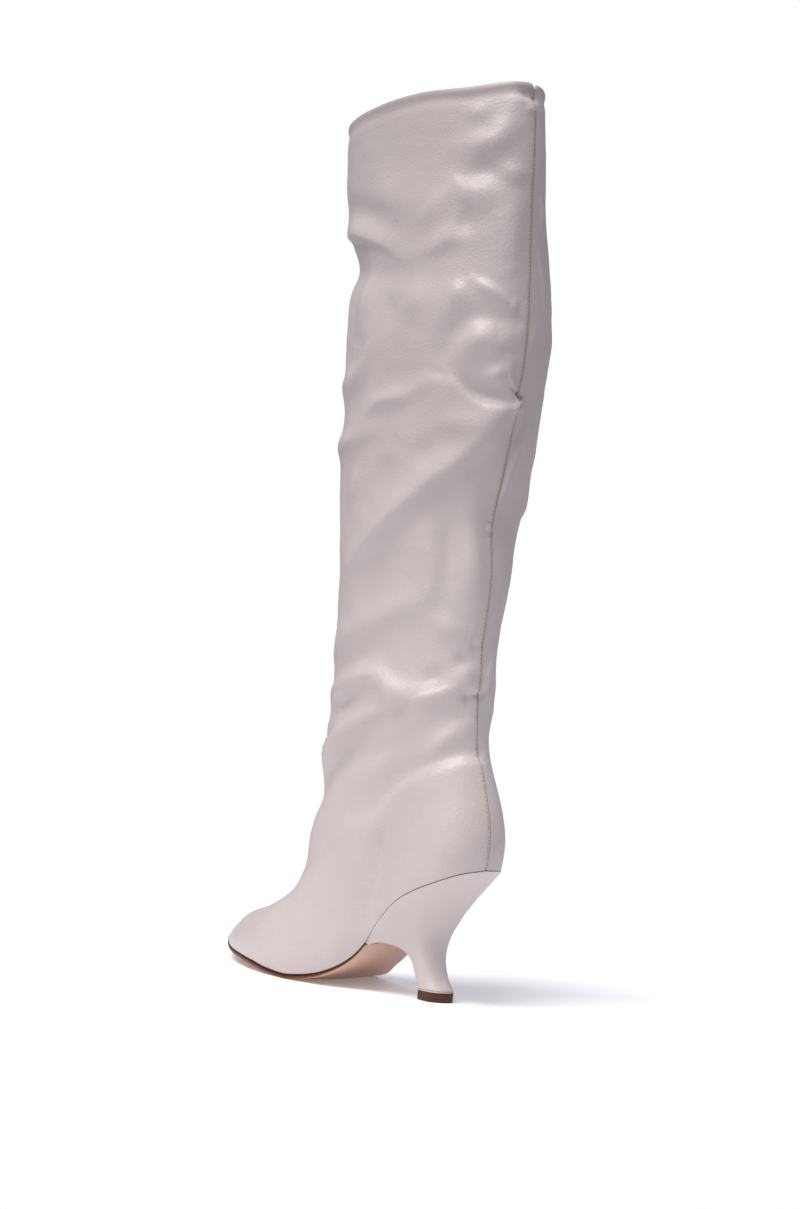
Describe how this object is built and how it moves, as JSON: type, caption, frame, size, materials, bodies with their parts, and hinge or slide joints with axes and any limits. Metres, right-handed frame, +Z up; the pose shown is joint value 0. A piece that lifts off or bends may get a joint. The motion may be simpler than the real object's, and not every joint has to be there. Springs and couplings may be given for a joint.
{
  "type": "wedge slouch boot",
  "caption": "Knee-high pull-on leather boot for the left foot, soft slouching shaft with a back seam, almond toe and a curved comma wedge heel.",
  "frame": {"origin": "on the floor under the middle of the boot's box", "axes": "+X towards the toe, +Y towards the wearer's left, which is the outer side of this left boot, +Z up along the shaft"},
  "size_m": [0.2406, 0.0858, 0.4901],
  "materials": {
    "upper_leather": "smooth pale greige leather, satin, fine grain",
    "heel_cover": "the upper's leather wrapped over the heel, satin",
    "sole_leather": "nude sole leather, lightly polished, dark brown edge",
    "top_lift": "dense brown rubber, matte",
    "insole": "light beige lining leather, matte"
  },
  "bodies": {
    "root": {"upper": "upper_leather", "heel": "heel_cover", "outsole": "sole_leather", "top_lift": "top_lift", "insole": "insole"}
  },
  "joints": []
}
